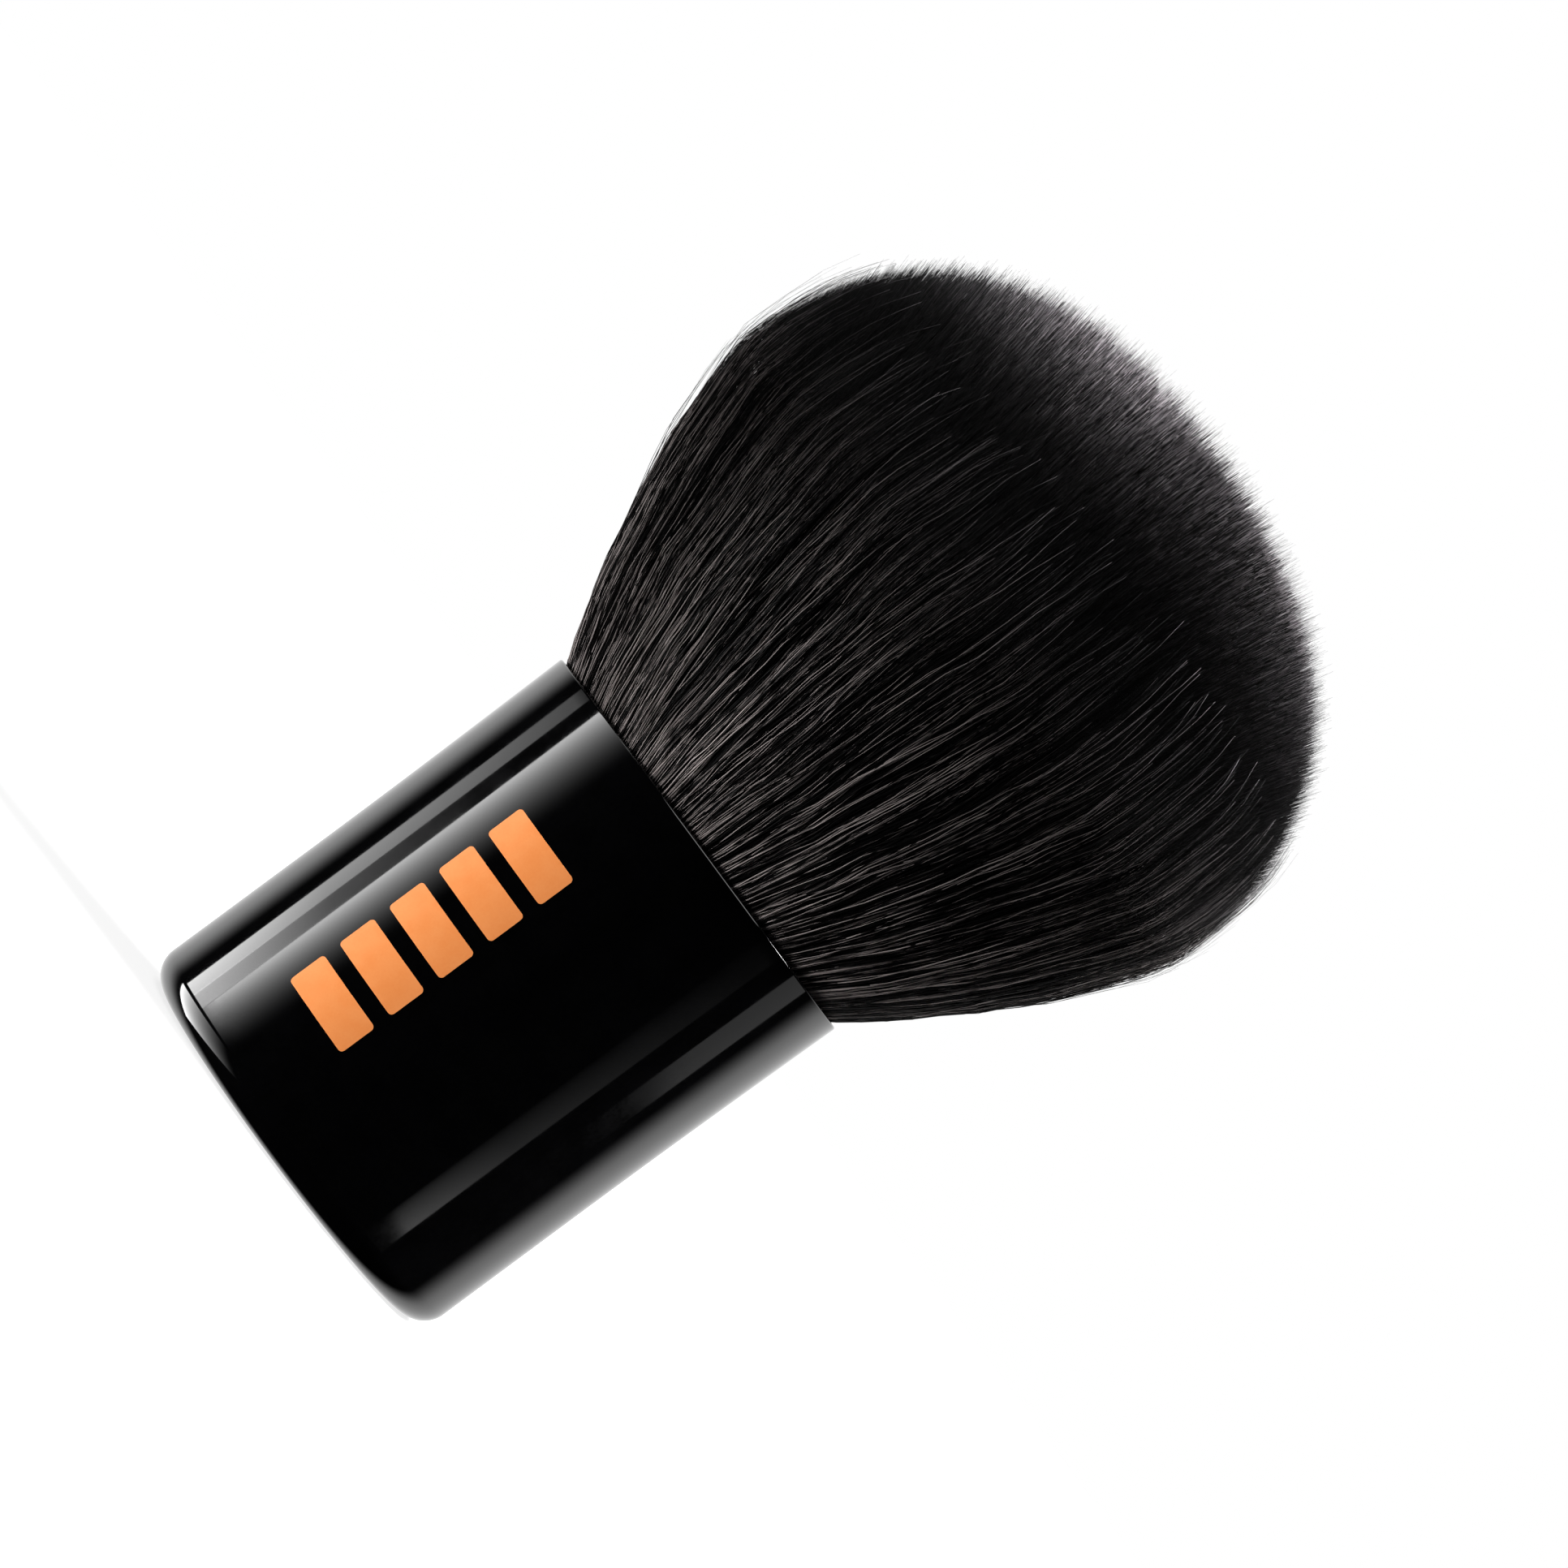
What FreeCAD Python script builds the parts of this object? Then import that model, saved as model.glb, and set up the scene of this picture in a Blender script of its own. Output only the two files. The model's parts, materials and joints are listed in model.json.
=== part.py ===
"""A kabuki makeup brush: a short weighted handle cup and a dense domed head of bristles.

The brush stands upright on its flat base. The origin is the middle of that base, and +Z runs up the
axis, through the handle, to the crown of the bristles. The printed mark faces -Y, a little to -X.
Every length is in millimetres.
"""

import FreeCAD, Part
import math
import os
import re
import Sketcher

SIZES = {
    # Handle cup: drawn aluminium sheet, straight below and slightly flared below its lip.
    "handle_height": 33.6,
    "barrel_radius": 14.8,
    "shell_wall": 0.4,
    "base_corner": 2.0,
    "flare_length": 7.6,
    "rim_flare": 0.24,
    "lip_round_share": 0.4,
    # Printed mark: a column of plain dashes of ink on the straight part of the barrel.
    "dash_count": 5,
    "dash_width": 6.2,
    "dash_gap": 1.2,
    "mark_foot": 5.6,
    "mark_head": 0.1,
    "mark_angle": -112.8,
    "ink_thickness": 0.03,
    "ink_gap": 0.03,
    # Steel weight and the adhesive disc under it.
    "tape_thickness": 0.6,
    "tape_inset": 1.0,
    "weight_thickness": 7.0,
    "weight_clearance": 0.5,
    "weight_chamfer": 0.6,
    # Moulded sleeve that fills the cup, with crush ribs against the wall.
    "insert_clearance": 0.3,
    "insert_wall": 1.7,
    "insert_floor": 1.6,
    "throat_depth": 5.6,
    "rib_count": 8,
    "rib_radius_share": 0.45,
    "rib_gap": 0.05,
    # Flanged metal cup that holds the root of the hair, and the epoxy cast in it.
    "cup_wall": 0.4,
    "cup_fit": 0.05,
    "cup_floor_gap": 0.3,
    "cup_corner": 0.8,
    "plug_height": 4.0,
    # Waxed thread round the root of the bundle, wound in a waist.
    "tie_turns": 3,
    "tie_rise": 2.6,
    "tie_gap": 0.05,
    "thread_radius": 0.35,
    # Epoxy ring poured over the flange.
    "bead_height": 1.5,
    "bead_gap": 0.1,
    # Bristle head: a straight flare out of the lip, a belly, a shoulder and a flatter crown.
    "mouth_gap": 0.14,
    "flare_rise": 10.0,
    "head_radius": 24.5,
    "belly_height": 23.9,
    "dome_rise": 18.1,
    "shoulder_radius_share": 0.885,
}

# Levels and radii that several pieces share, written in the sizes above.
WEIGHT_SEAT = "shell_wall + tape_thickness"
INSERT_SEAT = f"({WEIGHT_SEAT} + weight_thickness)"
THROAT = "(handle_height - throat_depth)"
CUP_SEAT = f"({INSERT_SEAT} + insert_floor + cup_floor_gap)"
CUP_DEPTH = f"({THROAT} - {CUP_SEAT})"
ROOT = f"({CUP_SEAT} + cup_wall + plug_height)"
INSERT_RADIUS = "(barrel_radius - shell_wall - insert_clearance)"
BORE_RADIUS = f"({INSERT_RADIUS} - insert_wall)"
CUP_RADIUS = f"({BORE_RADIUS} - cup_fit)"
KNOT_RADIUS = f"({CUP_RADIUS} - cup_wall - cup_fit)"
MOUTH_RADIUS = "(barrel_radius + rim_flare - shell_wall - mouth_gap)"
THREAD_PITCH = "(2 * thread_radius + tie_gap)"

FULL_TURN = 360
# Two levels or radii closer than this are the same one.
SAME = 1e-4

doc = FreeCAD.newDocument("kabuki_brush")
sheet = doc.addObject("Spreadsheet::Sheet", "Sizes")
for row, (size_name, number) in enumerate(SIZES.items(), start=1):
    sheet.set(f"A{row}", size_name)
    sheet.set(f"B{row}", str(number))
    sheet.setAlias(f"B{row}", size_name)
doc.recompute()


def value(text):
    """The number that an expression in size names has now."""
    return float(sheet.evalExpression(text))


def bound(text):
    """The same expression with every size name pointed at its cell of the sheet."""
    return re.sub(r"[a-z_]+", lambda word: f"Sizes.{word[0]}" if word[0] in SIZES else word[0], text)


def bind(thing, **properties):
    """Ties properties of a document object to expressions in size names."""
    for name, text in properties.items():
        thing.setExpression(name, bound(text))


def lift(thing, level):
    """Puts a piece at a level of the brush, through its Placement."""
    thing.setExpression("Placement.Base.z", bound(level))


def new_body(label):
    body = doc.addObject("PartDesign::Body", label)
    body.Label = label
    return body


def new_sketch(body, name, plane_role):
    """A sketch of a body, flat on one of its own origin planes."""
    sketch = body.newObject("Sketcher::SketchObject", name)
    plane = next(item for item in body.Origin.OriginFeatures if item.Role == plane_role)
    sketch.AttachmentSupport = [(plane, "")]
    sketch.MapMode = "FlatFace"
    return sketch


def hold_point(sketch, piece, point, place):
    """Holds one point of a sketch at a place given as two expressions.

    A coordinate that starts with ~ is only a first guess, which the tangencies then settle.
    """
    for kind, axis, text in (("DistanceX", -2, place[0]), ("DistanceY", -1, place[1])):
        if text.startswith("~"):
            continue
        if text == "0":
            sketch.addConstraint(Sketcher.Constraint("PointOnObject", piece, point, axis))
            continue
        distance = Sketcher.Constraint(kind, -1, 1, piece, point, value(text))
        sketch.setExpression(f"Constraints[{sketch.addConstraint(distance)}]", bound(text))


def point_at(place):
    return FreeCAD.Vector(value(place[0].lstrip("~")), value(place[1].lstrip("~")), 0)


class Outline:
    """A closed outline that is walked from corner to corner with lines and arcs."""

    # The numbers that a sketch gives to the points of a line or an arc.
    START, END, CENTRE = range(1, 4)

    def __init__(self, sketch, x, y):
        self.sketch = sketch
        self.first_place = self.place = (x, y)
        self.first = self.last = None

    def join(self, piece, near_end, far_end, place, tangent):
        """Joins a new piece to the one before it, and holds its far end at the next corner."""
        if self.last is None:
            hold_point(self.sketch, piece, near_end, self.first_place)
            self.first = (piece, near_end)
        else:
            kind = "Tangent" if tangent else "Coincident"
            self.sketch.addConstraint(Sketcher.Constraint(kind, *self.last, piece, near_end))
        if place == self.first_place:
            self.sketch.addConstraint(Sketcher.Constraint("Coincident", piece, far_end, *self.first))
        else:
            hold_point(self.sketch, piece, far_end, place)
        self.last = (piece, far_end)
        self.place = place
        return self

    def line(self, x, y):
        segment = Part.LineSegment(point_at(self.place), point_at((x, y)))
        return self.join(self.sketch.addGeometry(segment), self.START, self.END, (x, y), False)

    def arc(self, x, y, centre_x, centre_y, tangent=False):
        """An arc of less than half a turn about a centre, on to the corner at x, y."""
        centre = point_at((centre_x, centre_y))
        start = point_at(self.place) - centre
        end = point_at((x, y)) - centre
        circle = Part.Circle(centre, FreeCAD.Vector(0, 0, 1), start.Length)
        angles = [math.atan2(arm.y, arm.x) for arm in (start, end)]
        near_end, far_end = self.START, self.END
        if start.cross(end).z < 0:
            angles.reverse()
            near_end, far_end = self.END, self.START
        if angles[1] < angles[0]:
            angles[1] += 2 * math.pi
        piece = self.sketch.addGeometry(Part.ArcOfCircle(circle, *angles))
        hold_point(self.sketch, piece, self.CENTRE, (centre_x, centre_y))
        return self.join(piece, near_end, far_end, (x, y), tangent)

    def close(self):
        return self.line(*self.first_place)


def lathe(body, name, sketch):
    """Turns a sketch round the axis of the brush."""
    turned = body.newObject("PartDesign::Revolution", name)
    turned.Profile = sketch
    turned.ReferenceAxis = (sketch, ["V_Axis"])
    turned.Angle = FULL_TURN
    doc.recompute()
    return turned


def round_edges(feature, level, radius=None):
    """Names of a feature's circular edges at a level, and of one radius where it is given."""
    names = []
    for number, edge in enumerate(feature.Shape.Edges, start=1):
        if not isinstance(edge.Curve, Part.Circle) or abs(edge.Curve.Center.z - value(level)) > SAME:
            continue
        if radius is None or abs(edge.Curve.Radius - value(radius)) < SAME:
            names.append(f"Edge{number}")
    return names


def dress(body, kind, name, feature, edges, **sizes):
    """Fillets or chamfers some edges of a feature."""
    dressed = body.newObject(f"PartDesign::{kind}", name)
    dressed.Base = (feature, edges)
    bind(dressed, **sizes)
    doc.recompute()
    return dressed


def make_handle_shell():
    """The lacquered cup: a thin drawn wall that is straight, then flares a little to its lip."""
    body = new_body("handle_shell")
    sketch = new_sketch(body, "shell_outline", "XZ_Plane")
    flare_start = "(handle_height - flare_length)"
    flare_radius = "((flare_length ^ 2 + rim_flare ^ 2) / (2 * rim_flare))"
    flare_centre = f"barrel_radius + {flare_radius}"
    inner_radius = "barrel_radius - shell_wall"
    outline = Outline(sketch, "0", "0")
    outline.line("barrel_radius", "0")
    outline.line("barrel_radius", flare_start)
    outline.arc("~barrel_radius + rim_flare", "handle_height", flare_centre, flare_start)
    outline.line("~barrel_radius + rim_flare - shell_wall", "handle_height")
    outline.arc(inner_radius, flare_start, flare_centre, flare_start)
    outline.line(inner_radius, "shell_wall")
    outline.line("0", "shell_wall")
    outline.close()
    wall = lathe(body, "drawn_wall", sketch)
    edges = round_edges(wall, "0", "barrel_radius")
    outside = dress(body, "Fillet", "base_corner_outside", wall, edges, Radius="base_corner")
    edges = round_edges(outside, "shell_wall", inner_radius)
    inside = dress(body, "Fillet", "base_corner_inside", outside, edges, Radius="base_corner - shell_wall")
    edges = round_edges(inside, "handle_height")
    dress(body, "Fillet", "lip", inside, edges, Radius="lip_round_share * shell_wall")
    return body


def make_printed_mark():
    """Plain dashes of ink, one above the other, each a thin film that hugs the barrel."""
    span = "(handle_height - flare_length - base_corner - mark_foot - mark_head)"
    dash_height = f"(({span} + dash_gap) / dash_count - dash_gap)"
    dash_angle = "(dash_width / barrel_radius * 180 / pi)"
    dashes = []
    for step in range(int(value("dash_count"))):
        film = doc.addObject("Part::Cylinder", f"dash_film_{step}")
        bind(film, Radius="barrel_radius + ink_gap + ink_thickness", Height=dash_height, Angle=dash_angle)
        barrel = doc.addObject("Part::Cylinder", f"dash_barrel_{step}")
        bind(barrel, Radius="barrel_radius + ink_gap", Height=dash_height)
        dash = doc.addObject("Part::Cut", f"dash_{step}")
        dash.Base = film
        dash.Tool = barrel
        lift(dash, f"base_corner + mark_foot + {step} * ({dash_height} + dash_gap)")
        dashes.append(dash)
    mark = doc.addObject("Part::Compound", "printed_mark")
    mark.Links = dashes
    mark.Placement.Rotation = FreeCAD.Rotation(FreeCAD.Vector(0, 0, 1), 0)
    mark.setExpression("Placement.Rotation.Angle", bound(f"mark_angle - {dash_angle} / 2"))
    return mark


def make_weight_tape():
    """Double-sided adhesive disc on the flat floor of the cup."""
    tape = doc.addObject("Part::Cylinder", "weight_tape")
    bind(tape, Radius="barrel_radius - base_corner - tape_inset", Height="tape_thickness")
    lift(tape, "shell_wall")
    return tape


def make_base_weight():
    """Turned steel slug, chamfered below to clear the cup's inner corner."""
    body = new_body("base_weight")
    sketch = new_sketch(body, "weight_circle", "XY_Plane")
    radius = "(barrel_radius - shell_wall - weight_clearance)"
    circle = Part.Circle(FreeCAD.Vector(0, 0, 0), FreeCAD.Vector(0, 0, 1), value(radius))
    piece = sketch.addGeometry(circle)
    sketch.addConstraint(Sketcher.Constraint("Coincident", piece, Outline.CENTRE, -1, 1))
    size = sketch.addConstraint(Sketcher.Constraint("Radius", piece, value(radius)))
    sketch.setExpression(f"Constraints[{size}]", bound(radius))
    slug = body.newObject("PartDesign::Pad", "slug")
    slug.Profile = sketch
    bind(slug, Length="weight_thickness")
    doc.recompute()
    edges = round_edges(slug, "0")
    lower = dress(body, "Chamfer", "corner_relief", slug, edges, Size="base_corner - shell_wall")
    edges = round_edges(lower, "weight_thickness")
    dress(body, "Chamfer", "top_chamfer", lower, edges, Size="weight_chamfer")
    lift(body, WEIGHT_SEAT)
    return body


def make_core_insert():
    """Moulded sleeve with a floor, held off the wall by crush ribs all round."""
    body = new_body("core_insert")
    height = f"({THROAT} - {INSERT_SEAT})"
    sketch = new_sketch(body, "sleeve_outline", "XZ_Plane")
    outline = Outline(sketch, "0", "0")
    outline.line(INSERT_RADIUS, "0")
    outline.line(INSERT_RADIUS, height)
    outline.line(BORE_RADIUS, height)
    outline.line(BORE_RADIUS, "insert_floor")
    outline.line("0", "insert_floor")
    outline.close()
    lathe(body, "sleeve", sketch)
    rib_radius = "(rib_radius_share * insert_wall)"
    rib_place = f"{INSERT_RADIUS} + insert_clearance - rib_gap - {rib_radius}"
    section = new_sketch(body, "rib_section", "XY_Plane")
    circle = Part.Circle(point_at((rib_place, "0")), FreeCAD.Vector(0, 0, 1), value(rib_radius))
    piece = section.addGeometry(circle)
    hold_point(section, piece, Outline.CENTRE, (rib_place, "0"))
    size = section.addConstraint(Sketcher.Constraint("Radius", piece, value(rib_radius)))
    section.setExpression(f"Constraints[{size}]", bound(rib_radius))
    rib = body.newObject("PartDesign::Pad", "crush_rib")
    rib.Profile = section
    bind(rib, Length=height)
    doc.recompute()
    ring = body.newObject("PartDesign::PolarPattern", "crush_ribs")
    ring.Originals = [rib]
    ring.Axis = (section, ["N_Axis"])
    ring.Angle = FULL_TURN
    bind(ring, Occurrences="rib_count")
    body.Tip = ring
    lift(body, INSERT_SEAT)
    return body


def make_knot_cup():
    """Drawn metal cup for the root of the hair, hung by its flange on the sleeve."""
    body = new_body("knot_cup")
    sketch = new_sketch(body, "cup_outline", "XZ_Plane")
    bore = f"{CUP_RADIUS} - cup_wall"
    outline = Outline(sketch, "0", "0")
    outline.line(CUP_RADIUS, "0")
    outline.line(CUP_RADIUS, CUP_DEPTH)
    outline.line(INSERT_RADIUS, CUP_DEPTH)
    outline.line(INSERT_RADIUS, f"{CUP_DEPTH} + cup_wall")
    outline.line(bore, f"{CUP_DEPTH} + cup_wall")
    outline.line(bore, "cup_wall")
    outline.line("0", "cup_wall")
    outline.close()
    cup = lathe(body, "drawn_cup", sketch)
    dress(body, "Fillet", "cup_edge", cup, round_edges(cup, "0", CUP_RADIUS), Radius="cup_corner")
    lift(body, CUP_SEAT)
    return body


def make_glue_plug():
    """Cast epoxy in the bottom of the knot cup, which the root ends stand in."""
    plug = doc.addObject("Part::Cylinder", "glue_plug")
    bind(plug, Radius=KNOT_RADIUS, Height="plug_height")
    lift(plug, f"{CUP_SEAT} + cup_wall")
    return plug


def make_knot_tie():
    """Turns of waxed thread, side by side in the waist of the bundle."""
    turns = []
    for step in range(int(value("tie_turns"))):
        turn = doc.addObject("Part::Torus", f"thread_turn_{step}")
        bind(turn, Radius1=f"{KNOT_RADIUS} - thread_radius", Radius2="thread_radius")
        lift(turn, f"{ROOT} + tie_rise + {step} * {THREAD_PITCH}")
        turns.append(turn)
    tie = doc.addObject("Part::Compound", "knot_tie")
    tie.Links = turns
    return tie


def make_sealing_bead():
    """Ring of epoxy on the flange, between the flaring hair and the wall of the handle cup."""
    body = new_body("sealing_bead")
    sketch = new_sketch(body, "bead_section", "XZ_Plane")
    lean = f"(({MOUTH_RADIUS} - {KNOT_RADIUS}) / (throat_depth - cup_wall))"
    outer = "barrel_radius - shell_wall - bead_gap"
    outline = Outline(sketch, f"{KNOT_RADIUS} + bead_gap", "0")
    outline.line(outer, "0")
    outline.line(outer, "bead_height")
    outline.line(f"{KNOT_RADIUS} + bead_gap + {lean} * bead_height", "bead_height")
    outline.close()
    lathe(body, "bead_ring", sketch)
    lift(body, f"{THROAT} + cup_wall")
    return body


def make_bristle_bundle():
    """The hair as one soft solid, from its bound root, out of the lip, to the crown."""
    body = new_body("bristle_bundle")
    sketch = new_sketch(body, "bundle_outline", "XZ_Plane")
    waist_radius = f"{KNOT_RADIUS} - 2 * thread_radius - tie_gap"
    waist_foot = "tie_rise - thread_radius - tie_gap"
    waist_head = f"tie_rise + (tie_turns - 1) * {THREAD_PITCH} + thread_radius + tie_gap"
    rim = f"(handle_height - {ROOT})"
    belly = f"({rim} + belly_height)"
    shoulder_radius = "(shoulder_radius_share * dome_rise)"
    shoulder_centre = f"(head_radius - {shoulder_radius})"
    crown_radius = (
        f"((head_radius ^ 2 + dome_rise ^ 2 - 2 * head_radius * {shoulder_radius})"
        f" / (2 * (dome_rise - {shoulder_radius})))"
    )
    crown_centre = f"({belly} + dome_rise - {crown_radius})"
    # The shoulder and the crown meet on the line through their centres.
    reach = f"({crown_radius} / ({crown_radius} - {shoulder_radius}))"
    junction_x = f"~{reach} * {shoulder_centre}"
    junction_y = f"~{crown_centre} + {reach} * ({belly} - {crown_centre})"
    # The straight flare ends about here; the tangent arc to the belly settles where.
    flare_share = "flare_rise / (flare_rise + (belly_height - flare_rise) / 2)"
    flare_end = f"~{MOUTH_RADIUS} + (head_radius - {MOUTH_RADIUS}) * {flare_share}"
    outline = Outline(sketch, "0", "0")
    outline.line(KNOT_RADIUS, "0")
    outline.line(KNOT_RADIUS, waist_foot)
    outline.line(waist_radius, waist_foot)
    outline.line(waist_radius, waist_head)
    outline.line(KNOT_RADIUS, waist_head)
    outline.line(KNOT_RADIUS, f"{THROAT} + cup_wall - {ROOT}")
    outline.line(MOUTH_RADIUS, rim)
    outline.line(flare_end, f"{rim} + flare_rise")
    outline.arc("head_radius", belly, "~0", belly, tangent=True)
    outline.arc(junction_x, junction_y, shoulder_centre, belly)
    outline.arc("0", f"{belly} + dome_rise", "0", f"~{crown_centre}", tangent=True)
    outline.close()
    lathe(body, "hair", sketch)
    lift(body, ROOT)
    return body


pieces = [
    make_handle_shell(),
    make_printed_mark(),
    make_weight_tape(),
    make_base_weight(),
    make_core_insert(),
    make_knot_cup(),
    make_glue_plug(),
    make_knot_tie(),
    make_sealing_bead(),
    make_bristle_bundle(),
]
doc.recompute()

for thing in doc.Objects:
    if "Invalid" in thing.State or "Error" in thing.State:
        raise RuntimeError(f"{thing.Label} failed: {thing.State}")
for piece in pieces:
    if piece.Shape.isNull() or not piece.Shape.isValid():
        raise RuntimeError(f"{piece.Label} has no sound shape")

os.makedirs("parts", exist_ok=True)
for piece in pieces:
    piece.Shape.exportStep(f"parts/{piece.Label}.step")
    print(f"{piece.Label}: {len(piece.Shape.Solids)} solids, {piece.Shape.Volume:.1f} mm3")
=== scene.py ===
# %% [markdown]
# # A kabuki makeup brush, dressed in Blender
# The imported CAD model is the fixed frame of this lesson: a weighted handle cup with a soft solid in the
# shape of its hair. Each step below replaces one of those solids with a finished piece, or gives it a
# real surface. Everything is in metres, in the frame of the model: the base stands on z = 0 and the hair
# points up +Z.

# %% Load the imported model
import json
import math

import bmesh
import bpy
from mathutils import Matrix, Vector


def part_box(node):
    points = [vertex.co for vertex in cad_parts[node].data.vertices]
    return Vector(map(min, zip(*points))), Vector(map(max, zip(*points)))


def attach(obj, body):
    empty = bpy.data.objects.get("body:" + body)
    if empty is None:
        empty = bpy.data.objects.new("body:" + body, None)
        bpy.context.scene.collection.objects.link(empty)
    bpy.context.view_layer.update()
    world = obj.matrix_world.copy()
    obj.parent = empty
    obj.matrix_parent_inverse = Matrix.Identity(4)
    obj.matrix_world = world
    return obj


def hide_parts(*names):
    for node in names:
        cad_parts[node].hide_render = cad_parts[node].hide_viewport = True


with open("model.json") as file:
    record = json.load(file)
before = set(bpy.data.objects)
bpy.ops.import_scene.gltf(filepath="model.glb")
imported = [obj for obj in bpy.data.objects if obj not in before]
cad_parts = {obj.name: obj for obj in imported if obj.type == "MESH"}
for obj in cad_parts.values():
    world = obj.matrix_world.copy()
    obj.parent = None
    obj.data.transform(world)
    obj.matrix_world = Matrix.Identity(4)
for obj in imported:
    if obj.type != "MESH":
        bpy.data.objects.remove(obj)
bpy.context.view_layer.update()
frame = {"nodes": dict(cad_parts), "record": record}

MM = 0.001
scene = bpy.context.scene
scene.view_settings.view_transform = "Standard"
_, shell_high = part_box("handle_shell")
_, hair_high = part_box("bristle_bundle")
barrel = next(mount for mount in frame["record"]["mounts"] if mount["name"] == "handle_barrel")
BARREL_RADIUS = barrel["dims"]["r_mm"] * MM
RIM_LEVEL = shell_high.z
print("CAD nodes:", ", ".join(sorted(frame["nodes"])))

# %% [markdown]
# ## Camera
# The photograph shows the brush lying across the picture, its axis rising to the right. The brush could
# be tipped over to match, but then it would no longer stand on its base. So it stays upright here and the
# camera rolls instead. The eye is level with the lip of the handle: there the lip is a straight line, and
# the base is a shallow curve. The lens follows from the scale of the photograph, in pixels to a
# millimetre.

# %% Camera
PHOTO_SIDE = 1932
PIXELS_PER_MM = 18.87
AXIS_SLOPE = math.radians(36.5)
SENSOR = 36.0
EYE = Vector((0.19, -435.0, 33.0)) * MM
TARGET = Vector((0.19, 0.0, 40.4)) * MM
NEAREST_SEEN = 10 * MM

forward = (TARGET - EYE).normalized()
brush_up = (Vector((0, 0, 1)) - forward * forward.z).normalized()
brush_right = forward.cross(brush_up)
image_right = brush_up * math.cos(AXIS_SLOPE) + brush_right * math.sin(AXIS_SLOPE)
image_up = brush_up * math.sin(AXIS_SLOPE) - brush_right * math.cos(AXIS_SLOPE)

camera = bpy.data.objects.new("camera", bpy.data.cameras.new("camera"))
scene.collection.objects.link(camera)
camera.matrix_world = Matrix((image_right, image_up, -forward)).transposed().to_4x4()
camera.location = EYE
camera.data.sensor_width = SENSOR
camera.data.lens = SENSOR * PIXELS_PER_MM * (TARGET - EYE).length / MM / PHOTO_SIDE
camera.data.clip_start = NEAREST_SEEN
scene.camera = camera
print(f"lens {camera.data.lens:.0f} mm at {(TARGET - EYE).length / MM:.0f} mm")

# %% [markdown]
# ## Helpers for node trees
# Materials, the backdrop and the hair are all node trees. Wiring nodes by hand hides the idea behind
# them, so a Field wraps one output socket, and arithmetic on fields adds Math nodes. A formula then reads
# as a formula.

# %% Nodes
def plug(tree, socket, source):
    """Joins a field to an input, or sets the input to a plain value."""
    if isinstance(source, Field):
        tree.links.new(source.socket, socket)
    else:
        socket.default_value = source


def add_node(tree, kind, inputs=None, **settings):
    """A new node with its settings and its inputs, which are named or numbered."""
    node = tree.nodes.new(kind)
    for name, setting in settings.items():
        setattr(node, name, setting)
    for name, source in (inputs or {}).items():
        plug(tree, node.inputs[name], source)
    return node


print("nodes can be added and plugged")


# %% Fields
class Field:
    """A number or vector that a node tree works out."""

    def __init__(self, tree, socket):
        self.tree = tree
        self.socket = socket

    def math(self, operation, *others):
        terms = dict(enumerate((self, *others)))
        node = add_node(self.tree, "ShaderNodeMath", terms, operation=operation)
        return Field(self.tree, node.outputs[0])

    def __add__(self, other):
        return self.math("ADD", other)

    def __sub__(self, other):
        return self.math("SUBTRACT", other)

    def __mul__(self, other):
        return self.math("MULTIPLY", other)

    def __truediv__(self, other):
        return self.math("DIVIDE", other)

    def __pow__(self, other):
        return self.math("POWER", other)

    def one_minus(self):
        return self * -1.0 + 1.0

    def ramp(self, start, end, low=0.0, high=1.0):
        """Low before start, high after end, and a smooth step between them."""
        inputs = {0: self, 1: start, 2: end, 3: low, 4: high}
        node = add_node(self.tree, "ShaderNodeMapRange", inputs, interpolation_type="SMOOTHSTEP")
        return Field(self.tree, node.outputs[0])

    def shift(self, other):
        """The sum of two vectors."""
        node = add_node(self.tree, "ShaderNodeVectorMath", {0: self, 1: other}, operation="ADD")
        return Field(self.tree, node.outputs[0])

    def scaled(self, factor):
        """A vector times a number."""
        node = add_node(self.tree, "ShaderNodeVectorMath", {0: self, "Scale": factor}, operation="SCALE")
        return Field(self.tree, node.outputs[0])

    def parts(self):
        """The three numbers of a vector."""
        node = add_node(self.tree, "ShaderNodeSeparateXYZ", {0: self})
        return [Field(self.tree, output) for output in node.outputs]


def read(tree, kind, output, inputs=None, **settings):
    """One output of a new node, as a field."""
    return Field(tree, add_node(tree, kind, inputs, **settings).outputs[output])


def vector(tree, x, y, z):
    """Three numbers as one vector."""
    return read(tree, "ShaderNodeCombineXYZ", 0, {0: x, 1: y, 2: z})


print("fields can be added, multiplied and ramped")

# %% [markdown]
# ## Studio
# Gloss black lacquer shows its surroundings and little else. Its middle is black in the photograph, so
# most of the room is dark. Long soft strips lie on its left and its right, and both edges are pale from
# the white backdrop behind. The world therefore looks white to the camera in every direction, but in
# reflections only behind the brush. One big lamp could light everything, but its reflection would cover
# the barrel, so each reflection gets a softbox of its own. A mirrored softbox shows in the lacquer and
# lights nothing. A hidden one lights the print and doesn't show. Those behind the brush light the tips of
# the hair.

# %% World
AMBIENT = 0.02
BACKDROP_TURN = math.radians(6)
BACKDROP_EDGE = math.cos(math.radians(64))
BACKDROP_FULL = math.cos(math.radians(42))

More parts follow.
